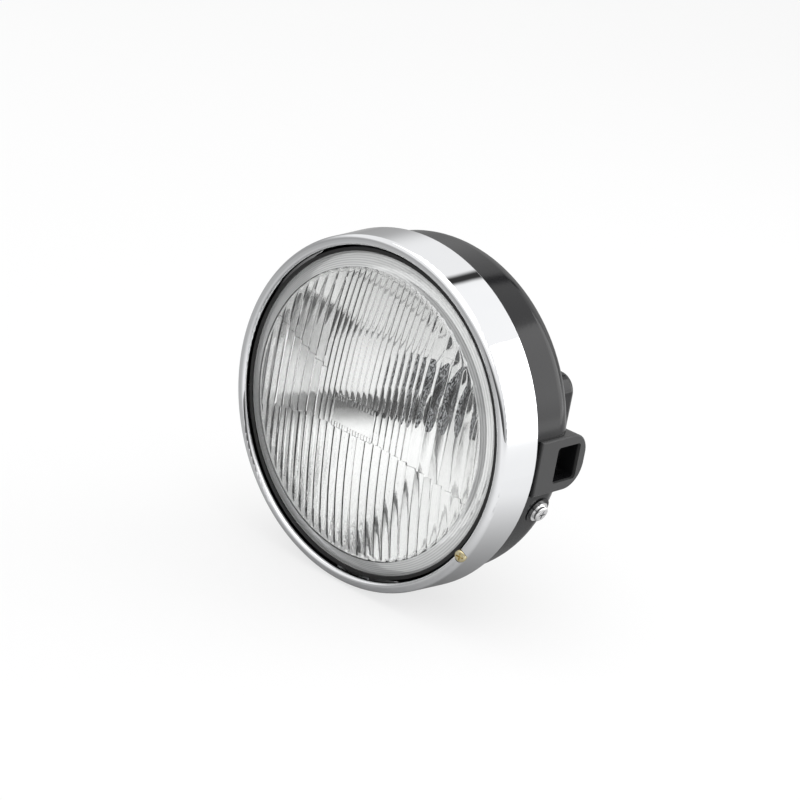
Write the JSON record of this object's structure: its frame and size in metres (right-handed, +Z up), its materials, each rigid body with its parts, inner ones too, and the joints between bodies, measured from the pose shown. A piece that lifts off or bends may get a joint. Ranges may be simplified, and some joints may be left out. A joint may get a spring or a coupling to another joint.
{
  "type": "motorcycle headlight",
  "caption": "Round headlight with a bright rim, a domed fluted lens and reflector unit, and a black bucket with side mounting ears and a rear wiring box.",
  "frame": {"origin": "on the optical axis, at the middle of the lamp's depth from lens crown to grommet", "axes": "+Y along the optical axis to the back, so the lens faces -Y; +Z up; +X to the side with the beam adjuster"},
  "size_m": [0.199, 0.1146, 0.199],
  "materials": {
    "black_plastic": "moulded black plastic, satin gloss",
    "bright_rim": "bright chrome plate",
    "zinc_steel": "zinc-plated sheet steel",
    "silver_fastener": "bright zinc plate",
    "yellow_zinc": "yellow passivated zinc plate",
    "black_paint": "black paint",
    "lens_glass": "clear pressed glass, fluted inside",
    "black_rubber": "matt black rubber",
    "bright_reflector": "vacuum aluminised",
    "bulb_glass": "clear glass",
    "contact_brass": "tinned brass"
  },
  "bodies": {
    "housing": {"bucket": "black_plastic", "rim": "bright_rim", "rim_hook": "zinc_steel", "rim_strap_left": "zinc_steel", "rim_strap_right": "zinc_steel", "rim_nut_left": "zinc_steel", "rim_nut_right": "zinc_steel", "pivot_bracket_upper": "zinc_steel", "pivot_bracket_lower": "zinc_steel", "rim_screw_left": "silver_fastener", "rim_screw_right": "silver_fastener", "rim_washer_left": "silver_fastener", "rim_washer_right": "silver_fastener", "wire_grommet": "black_rubber"},
    "beam_unit": {"lens": "lens_glass", "lens_seal": "black_rubber", "reflector": "bright_reflector", "unit_ring": "black_paint", "retainer_clips": "zinc_steel", "adjuster_nut": "zinc_steel", "pivot_pin_upper": "zinc_steel", "pivot_pin_lower": "zinc_steel", "bulb_base": "zinc_steel", "bulb_glass": "bulb_glass", "bulb_terminals": "contact_brass", "bulb_spring": "zinc_steel", "dust_boot": "black_rubber"},
    "adjuster": {"adjuster_screw": "yellow_zinc", "adjuster_clip": "zinc_steel"}
  },
  "joints": [
    {"name": "beam_aim", "type": "hinge", "parent": "housing", "child": "beam_unit", "pos_m": [0, -0.03275, 0], "axis": [0, 0, 1], "range_deg": [-1.5, 1.5]},
    {"name": "adjuster_turn", "type": "hinge", "parent": "housing", "child": "adjuster", "pos_m": [0.08177, -0.04675, -0.04913], "axis": [0.1782, -0.9781, -0.1071], "range_deg": [-1050, 1050]}
  ],
  "couplings": [
    {"joint": "adjuster_turn", "follows": "beam_aim", "ratio": 695.57}
  ]
}
